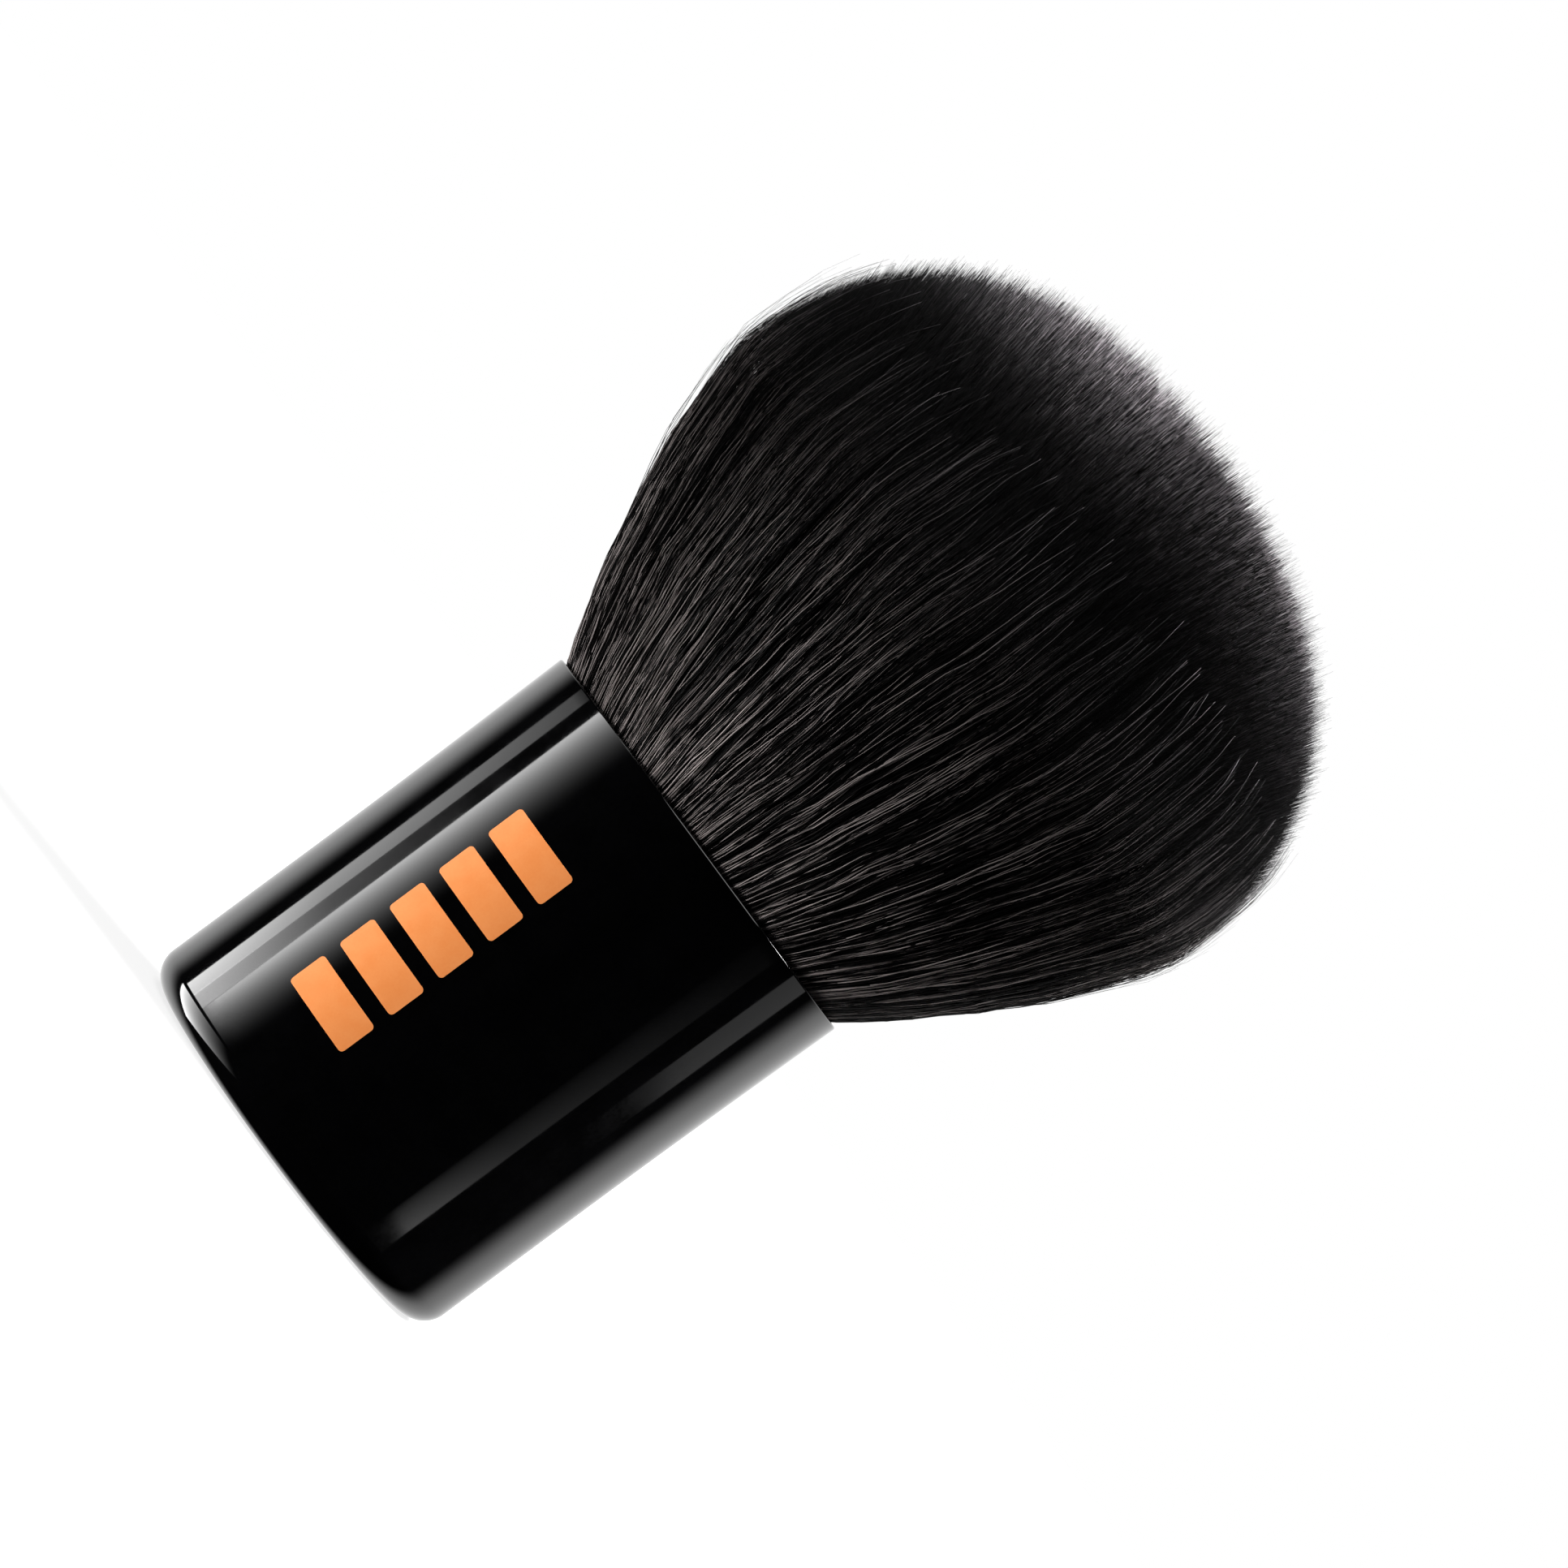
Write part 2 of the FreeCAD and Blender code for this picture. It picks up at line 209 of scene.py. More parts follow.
world = bpy.data.worlds.new("studio")
scene.world = world
world.use_nodes = True
world.cycles.sampling_method = "NONE"
sky = world.node_tree
sky.nodes.clear()
ray = add_node(sky, "ShaderNodeLightPath").outputs
east, north, _ = read(sky, "ShaderNodeTexCoord", "Generated").parts()
towards_backdrop = east * math.sin(BACKDROP_TURN) + north * math.cos(BACKDROP_TURN)
behind = towards_backdrop.ramp(BACKDROP_EDGE, BACKDROP_FULL)
seen = Field(sky, ray["Is Camera Ray"]).math("MAXIMUM", Field(sky, ray["Is Transmission Ray"]))
glossy = Field(sky, ray["Is Glossy Ray"]) * behind
ambient = Field(sky, ray["Is Diffuse Ray"]) * AMBIENT
sky_inputs = {"Color": (1, 1, 1, 1), "Strength": seen + glossy + ambient}
white = add_node(sky, "ShaderNodeBackground", sky_inputs)
surface = add_node(sky, "ShaderNodeOutputWorld")
sky.links.new(white.outputs[0], surface.inputs["Surface"])
print("world: white to the camera, a white backdrop behind the brush in reflections")

# %% [markdown]
# ## Softboxes
# Each lamp is a rectangle that faces the brush. It is placed by two angles, as a photographer would say
# it: how far it is turned from the camera and how high it is raised. Its brightness is given as a glow,
# because that is what the lacquer mirrors: a glow of 1 shows as white. The power in watts follows from
# the glow and the size.

# %% One softbox
AIM = Vector((0, 0, 30)) * MM


def add_softbox(name, turn, rise, size, glow, distance=1.0, fade_front=0.0, fade_up=0.0, kind="both"):
    """A rectangular lamp facing the brush, turned from the camera towards the left of the upright brush.

    The fades are powers with which the glow falls to nothing at the front and the upper edge.
    A mirrored lamp shows in reflections only, and a hidden one doesn't show in them.
    """
    width, height = size
    lamp = bpy.data.lights.new(name, "AREA")
    lamp.shape = "RECTANGLE"
    lamp.size = width
    lamp.size_y = height
    lamp.energy = glow * math.pi * width * height
    angle = math.radians(turn)
    lift = math.radians(rise)
    level = Vector((-math.sin(angle), -math.cos(angle), 0)) * math.cos(lift)
    side = level + Vector((0, 0, math.sin(lift)))
    box = bpy.data.objects.new(name, lamp)
    scene.collection.objects.link(box)
    box.location = AIM + side * distance
    box.rotation_euler = side.to_track_quat("Z", "Y").to_euler()
    box.visible_camera = False
    box.visible_diffuse = kind != "mirrored"
    box.visible_glossy = kind != "hidden"
    lamp.use_nodes = True
    tree = lamp.node_tree
    across, along, _ = read(tree, "ShaderNodeNewGeometry", "Parametric").parts()
    from_front = across.one_minus() if turn > 0 else across
    emission = next(node for node in tree.nodes if node.type == "EMISSION")
    plug(tree, emission.inputs["Strength"], from_front ** fade_front * along.one_minus() ** fade_up)
    return box


print("a softbox aims at", AIM / MM, "mm")

# %% All softboxes
NEAR = 0.8
OVERHEAD = 0.7
softboxes = [
    # The wide soft reflection on the left, and two strips beside it that fade on the way up.
    add_softbox("left_box", turn=71, rise=10.8, size=(0.69, 0.66), glow=10.0, fade_front=3),
    add_softbox(
        "left_strip", turn=107, rise=-3.65, size=(0.20, 0.138), glow=11.8, fade_up=1.5, kind="mirrored"
    ),
    add_softbox(
        "left_low_strip", turn=95.5, rise=-4.8, size=(0.21, 0.097), glow=9.7, fade_up=1.7, kind="mirrored"
    ),
    # The strip on the right, the grey beside it, and a pale line on the lip.
    add_softbox(
        "right_strip",
        turn=-66,
        rise=-3.75,
        size=(0.28, 0.11),
        glow=1.5,
        fade_front=0.7,
        fade_up=2,
        kind="mirrored",
    ),
    add_softbox("right_card", turn=-95.5, rise=1.3, size=(0.26, 0.135), glow=0.5, kind="mirrored"),
    add_softbox("lip_card", turn=-15, rise=42, size=(1.3, 0.7), glow=4.0, kind="mirrored"),
    # Light from below for the base corner, the hair near the lip and the print.
    add_softbox("low_box", turn=88, rise=-32, size=(0.9, 0.5), glow=13.5, distance=NEAR, fade_front=2),
    add_softbox("key_box", turn=40, rise=-28, size=(0.4, 0.3), glow=12.0, distance=NEAR, kind="hidden"),
    # Light from above and behind for the tips of the hair.
    add_softbox("top_box", turn=0, rise=86, size=(0.3, 0.3), glow=2.5, distance=OVERHEAD),
    add_softbox("back_right_box", turn=-112, rise=56, size=(0.6, 0.4), glow=52.0, distance=NEAR),
    add_softbox("back_left_box", turn=98, rise=58, size=(0.5, 0.4), glow=5.0, distance=NEAR),
]
for box in softboxes:
    print(f"{box.name}: {box.data.energy:.2f} W")

# %% [markdown]
# ## Floor
# The brush stands on a plain pale floor. White has to come from the floor's own colour and not from more
# light, so to the camera the floor also glows: fully far away, and only in part round the brush, where
# the lamps supply the rest and the brush can take it away again as its shadow. The lacquer and the hair
# don't see the floor, which keeps the base and the underside of the head as dark as they are in the
# photograph.

# %% Floor
FLOOR_RADIUS = 3.0
FLOOR_SEGMENTS = 96
FLOOR_DROP = 0.05 * MM
FLOOR_COLOUR = (0.25, 0.25, 0.25, 1)
SHADOW_REACH = (60 * MM, 240 * MM)
NEAR_GLOW = 0.8

floor_mesh = bpy.data.meshes.new("floor")
builder = bmesh.new()
bmesh.ops.create_circle(builder, cap_ends=True, radius=FLOOR_RADIUS, segments=FLOOR_SEGMENTS)
bmesh.ops.translate(builder, verts=builder.verts, vec=(0, 0, -FLOOR_DROP))
builder.to_mesh(floor_mesh)
builder.free()
floor = bpy.data.objects.new("floor", floor_mesh)
scene.collection.objects.link(floor)
floor.visible_glossy = False
floor.visible_diffuse = False
floor.visible_shadow = False

paper = bpy.data.materials.new("white_paper")
paper.use_nodes = True
paper.cycles.emission_sampling = "NONE"
tree = paper.node_tree
tree.nodes.clear()
from_brush = read(tree, "ShaderNodeTexCoord", "Object")
distance = read(tree, "ShaderNodeVectorMath", "Value", {0: from_brush}, operation="LENGTH")
to_camera = read(tree, "ShaderNodeLightPath", "Is Camera Ray")
glow_level = distance.ramp(*SHADOW_REACH, NEAR_GLOW, 1.0) * to_camera
glow = add_node(tree, "ShaderNodeEmission", {"Strength": glow_level})
sheet = add_node(tree, "ShaderNodeBsdfDiffuse", {"Color": FLOOR_COLOUR})
both = add_node(tree, "ShaderNodeAddShader")
tree.links.new(glow.outputs[0], both.inputs[0])
tree.links.new(sheet.outputs[0], both.inputs[1])
output = add_node(tree, "ShaderNodeOutputMaterial")
tree.links.new(both.outputs[0], output.inputs["Surface"])
floor_mesh.materials.append(paper)
print(f"floor: {FLOOR_RADIUS:.0f} m disc")

# %% [markdown]
# ## Finishes
# Every hard surface here varies a little: lacquer ripples, moulded plastic has a fine texture, turned
# steel has rings. Each material could have a noise of its own, but one node group can make that grain for
# all of them. A material then takes it with its own scale and strength, for its colour, its roughness and
# a slight bump.

# %% Grain group
FINE_TO_COARSE = 7.3
COARSE_SHARE = 0.6
FINE_SHARE = 0.4
COARSE_DETAIL = 2.0
FINE_DETAIL = 3.0


def make_grain_group():
    group = bpy.data.node_groups.new("surface_grain", "ShaderNodeTree")
    new_socket = group.interface.new_socket
    new_socket("Place", in_out="INPUT", socket_type="NodeSocketVector")
    new_socket("Scale", in_out="INPUT", socket_type="NodeSocketFloat")
    new_socket("Grain", in_out="OUTPUT", socket_type="NodeSocketFloat")
    given = add_node(group, "NodeGroupInput").outputs
    place = Field(group, given["Place"])
    scale = Field(group, given["Scale"])
    coarse_inputs = {"Vector": place, "Scale": scale, "Detail": COARSE_DETAIL}
    coarse = read(group, "ShaderNodeTexNoise", "Fac", coarse_inputs)
    fine_inputs = {"Vector": place, "Scale": scale * FINE_TO_COARSE, "Detail": FINE_DETAIL}
    fine = read(group, "ShaderNodeTexNoise", "Fac", fine_inputs)
    result = add_node(group, "NodeGroupOutput")
    plug(group, result.inputs["Grain"], coarse * COARSE_SHARE + fine * FINE_SHARE)
    return group


grain_group = make_grain_group()
print("grain group:", len(grain_group.nodes), "nodes")

# %% Lacquer and ink
GRAIN_BAND = (0.3, 0.7)
BUMP_DEPTH = 0.02 * MM
PLAIN_SPECULAR = 0.5
MIX_FIRST = 6
MIX_SECOND = 7
MIX_RESULT = 2


def new_material(name):
    """A material, its node tree and its Principled shader."""
    material = bpy.data.materials.new(name)
    material.use_nodes = True
    tree = material.node_tree
    shader = next(node for node in tree.nodes if node.type == "BSDF_PRINCIPLED")
    return material, tree, shader


def mix_colours(tree, factor, first, second):
    """A colour that runs from the first to the second as the factor goes from 0 to 1."""
    inputs = {"Factor": factor, MIX_FIRST: first, MIX_SECOND: second}
    return read(tree, "ShaderNodeMix", MIX_RESULT, inputs, data_type="RGBA")


def make_finish(
    name, dark, light, rough, scale, stretch=(1, 1, 1), bump=0.0, metallic=0.0, specular=PLAIN_SPECULAR
):
    """A material whose colour and roughness run between two values with the grain."""
    material, tree, shader = new_material(name)
    object_place = read(tree, "ShaderNodeTexCoord", "Object")
    place = read(tree, "ShaderNodeMapping", 0, {"Vector": object_place, "Scale": stretch})
    grain_inputs = {"Place": place, "Scale": scale}
    grain = read(tree, "ShaderNodeGroup", "Grain", grain_inputs, node_tree=grain_group)
    colour = mix_colours(tree, grain.ramp(*GRAIN_BAND), (*dark, 1), (*light, 1))
    plug(tree, shader.inputs["Base Color"], colour)
    plug(tree, shader.inputs["Roughness"], grain.ramp(*GRAIN_BAND, *rough))
    if bump:
        relief_inputs = {"Strength": bump, "Distance": BUMP_DEPTH, "Height": grain}
        plug(tree, shader.inputs["Normal"], read(tree, "ShaderNodeBump", 0, relief_inputs))
    shader.inputs["Metallic"].default_value = metallic
    shader.inputs["Specular IOR Level"].default_value = specular
    return material


lacquer = make_finish(
    "black_lacquer",
    dark=(0.0008, 0.0008, 0.0009),
    light=(0.0014, 0.0014, 0.0016),
    rough=(0.04, 0.07),
    scale=420,
)
ink = make_finish(
    "orange_ink",
    dark=(0.97, 0.30, 0.072),
    light=(1.0, 0.335, 0.088),
    rough=(0.38, 0.5),
    scale=900,
    bump=0.15,
)
print("materials:", ", ".join(material.name for material in (lacquer, ink)))

# %% [markdown]
# ## Handle cup
# The real cup is drawn from thin sheet and lacquered: a flat base with a rounded corner, a straight
# barrel and a slight flare up to a rounded lip. The CAD solid has that shape, but its facets would break
# up the long reflections. A Screw modifier could turn the profile again with more steps, but it leaves
# doubled points on the axis, which then have to be merged. So the rings are made in bmesh, every arc of
# the profile is sampled evenly, and each end is closed with a fan of triangles.

# %% Turned shapes
TURN_STEPS = 288


def arc(centre, radius, start, end, steps):
    """Points of an arc in the plane of radius and height, between two angles in degrees."""
    angles = [math.radians(start + (end - start) * step / steps) for step in range(steps + 1)]
    middle, level = centre
    return [(middle + radius * math.cos(angle), level + radius * math.sin(angle)) for angle in angles]


def around_axis(radius, angle, height):
    """A point at a radius and an angle about the axis."""
    return (radius * math.cos(angle), radius * math.sin(angle), height)


def new_piece(name, mesh, material, smooth=True):
    piece = bpy.data.objects.new(name, mesh)
    scene.collection.objects.link(piece)
    mesh.materials.append(material)
    for face in mesh.polygons:
        face.use_smooth = smooth
    return piece


def turn_profile(name, profile, material, steps=TURN_STEPS):
    """A closed shape turned round the axis from a profile that starts and ends on it."""
    builder = bmesh.new()
    first = builder.verts.new((0, 0, profile[0][1]))
    last = builder.verts.new((0, 0, profile[-1][1]))
    angles = [math.tau * step / steps for step in range(steps)]
    rings = []
    for radius, height in profile[1:-1]:
        rings.append([builder.verts.new(around_axis(radius, angle, height)) for angle in angles])
    for step in range(steps):
        after = (step + 1) % steps
        builder.faces.new((first, rings[0][after], rings[0][step]))
        builder.faces.new((last, rings[-1][step], rings[-1][after]))
        for low, high in zip(rings, rings[1:]):
            builder.faces.new((low[step], low[after], high[after], high[step]))
    bmesh.ops.recalc_face_normals(builder, faces=builder.faces)
    mesh = bpy.data.meshes.new(name)
    builder.to_mesh(mesh)
    builder.free()
    return new_piece(name, mesh, material)


def hand_over(piece, node):
    """Lets a finished piece ride on the brush in the place of a CAD node."""
    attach(piece, "root")
    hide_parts(node)


print("profiles are turned in", TURN_STEPS, "steps")

# %% Handle cup
WALL = 0.4 * MM
BASE_CORNER = 2.0 * MM
FLARE_LENGTH = 21.0 * MM
RIM_FLARE = 0.2 * MM
LIP_ROUND = 0.16 * MM
CORNER_STEPS = 20
FLARE_STEPS = 24
INNER_FLARE_STEPS = 12
SMALL_ARC_STEPS = 8

flare_start = RIM_LEVEL - FLARE_LENGTH
flare_radius = (FLARE_LENGTH ** 2 + RIM_FLARE ** 2) / (2 * RIM_FLARE)
flare_turn = math.degrees(math.asin((FLARE_LENGTH - LIP_ROUND) / flare_radius))
flare_centre = (BARREL_RADIUS + flare_radius, flare_start)
lip_outside = BARREL_RADIUS + RIM_FLARE
lip_level = RIM_LEVEL - LIP_ROUND
inner_radius = BARREL_RADIUS - WALL
inner_corner = BASE_CORNER - WALL

cup_profile = [(0, 0)]
cup_profile += arc((BARREL_RADIUS - BASE_CORNER, BASE_CORNER), BASE_CORNER, -90, 0, CORNER_STEPS)
cup_profile += arc(flare_centre, flare_radius, 180, 180 - flare_turn, FLARE_STEPS)
cup_profile += arc((lip_outside - LIP_ROUND, lip_level), LIP_ROUND, 0, 90, SMALL_ARC_STEPS)[1:]
cup_profile += arc((lip_outside - WALL + LIP_ROUND, lip_level), LIP_ROUND, 90, 180, SMALL_ARC_STEPS)
cup_profile += arc(flare_centre, flare_radius + WALL, 180 - flare_turn, 180, INNER_FLARE_STEPS)[1:]
cup_profile += arc((inner_radius - inner_corner, BASE_CORNER), inner_corner, 0, -90, SMALL_ARC_STEPS)
cup_profile += [(0, WALL)]
handle = turn_profile("handle_cup", cup_profile, lacquer)
hand_over(handle, "handle_shell")
print(f"handle cup: {len(handle.data.polygons)} faces")

# %% [markdown]
# ## Printed dashes
# A column of plain orange dashes is printed on the barrel. A mask in the lacquer's material could paint
# them, but printed ink is a film with a finish of its own. So each dash is a thin closed sheet wrapped on
# the barrel, with corners rounded as a print screen leaves them. The columns of one dash are worked out
# across its width, and a loop repeats the dash up the barrel.

# %% One dash
DASH_CORNER = 0.3 * MM
DASH_ANGLE = math.radians(-112.8)
INK_FACE = 0.05 * MM
DASH_COLUMNS = 40
CORNER_COLUMNS = 8


def barrel_at(level):
    """Radius of the barrel at a level, with its flare."""
    return BARREL_RADIUS + max(0.0, level - flare_start) ** 2 / (2 * flare_radius)


def dash_half_height(across, half_width, half_height):
    """Half the height of a dash at a place across its width."""
    into_corner = max(0.0, abs(across) - (half_width - DASH_CORNER))
    return half_height - DASH_CORNER + math.sqrt(max(0.0, DASH_CORNER ** 2 - into_corner ** 2))


def dash_places(half_width):
    """Places of the columns across a dash, closer together in its rounded corners."""
    straight = half_width - DASH_CORNER
    places = [-straight + 2 * straight * step / DASH_COLUMNS for step in range(DASH_COLUMNS + 1)]
    turns = [math.pi / 2 * step / CORNER_COLUMNS for step in range(1, CORNER_COLUMNS + 1)]
    curve = [straight + DASH_CORNER * math.sin(turn) for turn in turns]
    return [-place for place in reversed(curve)] + places + curve


def add_dash(builder, level, half_width, half_height):
    """One dash as a closed sheet between the lacquer and the face of the ink."""
    columns = []
    for place in dash_places(half_width):
        angle = DASH_ANGLE + place / BARREL_RADIUS
        reach = dash_half_height(place, half_width, half_height)
        corners = []
        for thickness in (0, INK_FACE):
            for height in (level - reach, level + reach):
                radius = barrel_at(height) + thickness
                corners.append(builder.verts.new(around_axis(radius, angle, height)))
        columns.append(corners)
    for left, right in zip(columns, columns[1:]):
        for one, two in ((2, 3), (3, 1), (1, 0), (0, 2)):
            builder.faces.new((left[one], right[one], right[two], left[two]))
    for low_inner, high_inner, low_outer, high_outer in (columns[0], columns[-1]):
        builder.faces.new((low_inner, high_inner, high_outer, low_outer))


print(f"radius of the barrel: {barrel_at(0) / MM:.2f} to {barrel_at(RIM_LEVEL) / MM:.2f} mm")

# %% Printed dashes
mark_low, mark_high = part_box("printed_mark")
DASH_COUNT = 5
DASH_WIDTH = 6.2 * MM
DASH_GAP = 1.2 * MM

builder = bmesh.new()
pitch = (mark_high.z - mark_low.z + DASH_GAP) / DASH_COUNT
for number in range(DASH_COUNT):
    middle = mark_low.z + (pitch - DASH_GAP) / 2 + number * pitch
    add_dash(builder, middle, DASH_WIDTH / 2, (pitch - DASH_GAP) / 2)
bmesh.ops.recalc_face_normals(builder, faces=builder.faces)
dash_mesh = bpy.data.meshes.new("printed_dashes")
builder.to_mesh(dash_mesh)
builder.free()
dashes = new_piece("printed_dashes", dash_mesh, ink, smooth=False)
hand_over(dashes, "printed_mark")
print(f"dashes: {DASH_COUNT}, each {(pitch - DASH_GAP) / MM:.1f} mm high")

# %% [markdown]
# ## Bristle material
# The filaments are black and fine. A real one is a smooth fibre whose gloss makes bright flecks, most of
# them near the root, and whose thin tip scatters light and looks grey. Gloss on strands as fine as these
# would turn to noise in a render, so the flecks are painted highlights, and the grey of the tips is
# painted light. Each strand has a tone: the lighter tones carry short pale painted glints and longer
# painted gleams, and their tips turn grey. A UV map carries this. Across it lie columns, one tone each,
# and up it runs the length of a filament, so that the same map serves for baking. A second, plain dark
# finish without gloss is painted shade for the strands underneath.

# %% Bristle material
HAIR_MAP = "OFBake"
TONES = 64

# Places along a strand and bands of noise or tone are given as a start and an end.
BLACK = (0.0025, 0.0024, 0.0025, 1)
# The pale colours below are those of the painted highlights and of the painted light at the tips.
PALE_ROOT = (0.44, 0.385, 0.375, 1)
PALE_TIP = (0.54, 0.495, 0.525, 1)
ROOT_TO_TIP = (0.5, 0.85)
TONE_LOSS = 0.3
BRIGHT_TONES = (0.46, 0.74)
# Painted highlights: short glints near the root and longer gleams, on strands of the lighter tones.
GLINT_PITCH = (5.3, 16.0)
GLINT_BAND = (0.42, 0.6)
GLINT_END = 0.35
GLINT_LEVEL = 0.7
GLEAM_PITCH = (3.1, 4.0)
GLEAM_BAND = (0.35, 0.55)
GLEAM_FADE = (0.05, 0.8, 1.0, 0.42)
GLEAM_LEVEL = 0.8
# Painted light at the tips: grey that stands in for light scattered by the thin tips.
TIP_START = (0.8, 0.9)
TIP_TONES = (0.3, 1.0)
TIP_LEVEL = 0.8
HAIR_ROUGH = (0.5, 0.35)
HAIR_SPECULAR = 0.12


def fleck_noise(tree, column, along, pitch):
    """Noise along a strand that differs from tone to tone."""
    place = vector(tree, column * pitch[0], along * pitch[1], 0.0)
    return read(tree, "ShaderNodeTexNoise", "Fac", {"Vector": place, "Scale": 1.0, "Detail": 1.0})


def make_hair():
    material, tree, shader = new_material("black_bristle")
    across, along, _ = read(tree, "ShaderNodeUVMap", "UV", uv_map=HAIR_MAP).parts()
    column = (across * TONES).math("FLOOR")
    tone = column / (TONES - 1.0)
    # Painted highlights fall on strands of the lighter tones, and on fewer of them further along.
    bright = (tone - along * TONE_LOSS).ramp(*BRIGHT_TONES)
    glint_noise = fleck_noise(tree, column, along, GLINT_PITCH)
    painted_glints = along.ramp(0.0, GLINT_END, 1.0, 0.0) * glint_noise.ramp(*GLINT_BAND)
    gleam_noise = fleck_noise(tree, column, along, GLEAM_PITCH)
    painted_gleams = gleam_noise.ramp(*GLEAM_BAND) * along.ramp(*GLEAM_FADE)
    # Painted light: the tips of the lighter tones turn grey, standing in for light scattered by the thin
    # tips.
    painted_tip_light = along.ramp(*TIP_START) * tone.ramp(*TIP_TONES)
    # All painted light together, highlights and grey tips, in a pale colour that runs from root to tip.
    painted_light = bright * (painted_glints * GLINT_LEVEL + painted_gleams * GLEAM_LEVEL) + painted_tip_light * TIP_LEVEL
    pale = mix_colours(tree, along.ramp(*ROOT_TO_TIP), PALE_ROOT, PALE_TIP)
    plug(tree, shader.inputs["Base Color"], mix_colours(tree, painted_light, BLACK, pale))
    plug(tree, shader.inputs["Roughness"], tone.ramp(0.0, 1.0, *HAIR_ROUGH))
    shader.inputs["Specular IOR Level"].default_value = HAIR_SPECULAR
    return material


hair = make_hair()
# Painted shade: a darker copy of the bristle finish, without gloss, for the strands underneath and the
# core.
painted_shade = make_finish(
    "bristle_shade",
    dark=(0.001, 0.001, 0.001),
    light=(0.003, 0.0028, 0.0028),
    rough=(0.8, 0.95),
    scale=900,
    specular=0.0,
)
print("bristle material with", TONES, "tones")

# %% [markdown]
# ## Bristles
# A kabuki head is one round bundle of many thousand filaments that leave the handle's mouth and fan out
# to a dome. A particle system could grow them, but its hairs are no mesh, and the export would lose them.
# Geometry Nodes can make a mesh: one straight strand is copied, and each copy is bent to its own path,
# worked out from its number alone. The numbers fill the mouth like the seeds of a sunflower. A strand at
# share s of the mouth's radius leans outwards in that share, and its tip lies on the dome at that share
# of the way from the crown to the skirt. A strand with a climb goes on from there, up the dome. Noise
# adds waves, and strands close to each other are drawn together into clumps.

# %% Inputs of the bristle tree
BRISTLE_INPUTS = {
    # Which strands a piece holds, how many points each has, and its seed.
    "Count": "Int",
    "First": "Int",
    "Every": "Int",
    "Total": "Int",
    "Points": "Int",
    "Seed": "Int",
    # The ring of the mouth that they stand in, and where along their paths they start to show.
    "Inner share": "Float",
    "Outer share": "Float",
    "Start": "Float",
    # Shape of the mouth and of the dome of tips.
    "Mouth radius": "Float",
    "Mouth level": "Float",
    "Mouth slope": "Float",
    "Head radius": "Float",
    "Belly level": "Float",
    "Dome rise": "Float",
    "Roundness": "Float",
    "Reach": "Float",
    "Crown tilt": "Float",
    "Climb": "Float",
    # Girth of a strand, and how much it differs from the others in length and direction.
    "Thickness": "Float",
    "Tip share": "Float",
    "Uneven": "Float",
    "Twist": "Float",
    "Fray": "Float",
    # Waves, crimp and clumps.
    "Wave": "Float",
    "Wave length": "Float",
    "Crimp": "Float",
    "Crimp length": "Float",
    "Clump": "Float",
    "Clump size": "Float",
    # Tones, painted shade and material.
    "Darkest tone": "Int",
    "Lightest tone": "Int",
    "Shade": "Int",
    "Material": "Material",
}


def random_vector(tree, number, seed):
    """Three random numbers from -1 to 1 that belong to one strand."""
    inputs = {"Min": (-1, -1, -1), "Max": (1, 1, 1), "ID": number, "Seed": seed}
    return read(tree, "FunctionNodeRandomValue", 0, inputs, data_type="FLOAT_VECTOR")


def noise_vector(tree, place, length):
    """Smooth noise from -1 to 1 in three directions, with waves of about that length."""
    inputs = {"Vector": place, "Scale": length ** -1.0, "Detail": 1.0}
    noise = read(tree, "ShaderNodeTexNoise", "Color", inputs)
    return noise.shift((-0.5, -0.5, -0.5)).scaled(2.0)


print("bristle tree:", len(BRISTLE_INPUTS), "inputs")

# %% [markdown]
# ## Path of a strand
# A filament is bound at its root, leans outwards as it leaves the mouth, and bends back to end on the
# dome. A curve drawn by hand could show one such path. A quadratic Bezier curve gives them all: it starts
# at the root, ends at the tip, and its middle point sets the lean at the mouth.

# %% Path of a strand
GOLDEN_ANGLE = math.pi * (3 - math.sqrt(5))
CLIMB_ANGLE = math.radians(85)


def seat_of(given, number):
    """Place of a strand in the mouth, as a share of the radius and a turn about the axis."""
    inner = given["Inner share"] ** 2.0
    outer = given["Outer share"] ** 2.0
    share = (inner + (outer - inner) * ((number + 0.5) / given["Total"])).math("SQRT")
    return share, number * GOLDEN_ANGLE


def dome_place(given, polar):
    """Radius and level of the dome of tips at an angle from the crown."""
    upright = polar.math("COSINE")
    rise = upright.math("SIGN") * upright.math("ABSOLUTE") ** given["Roundness"]
    radius = given["Head radius"] * polar.math("SINE") ** given["Roundness"]
    return radius, given["Belly level"] + given["Dome rise"] * rise


def path_of(given, share, along):
    """Radius and level of a strand at a share of its length, and the weight of its tip there."""
    polar = share * given["Reach"]
    tip_radius, tip_level = dome_place(given, polar)
    root_radius = share * given["Mouth radius"]
    root_level = given["Mouth level"]
    slope = share * given["Mouth slope"]
    chord = ((tip_radius - root_radius) ** 2.0 + (tip_level - root_level) ** 2.0).math("SQRT")
    step = chord * 0.5 / (slope ** 2.0 + 1.0).math("SQRT")
    bend_radius = root_radius + slope * step
    bend_level = root_level + step

    climb_start = given["Climb"].one_minus()
    bent = (along / climb_start).math("MINIMUM", 1.0)
    climbed = (along - climb_start).math("MAXIMUM", 0.0)
    end_radius, end_level = dome_place(given, polar - climbed * CLIMB_ANGLE)
    before = bent.one_minus()
    near = before * before
    middle = bent * before * 2.0
    far = bent * bent
    radius = near * root_radius + middle * bend_radius + far * end_radius
    level = near * root_level + middle * bend_level + far * end_level
    return radius, level, far


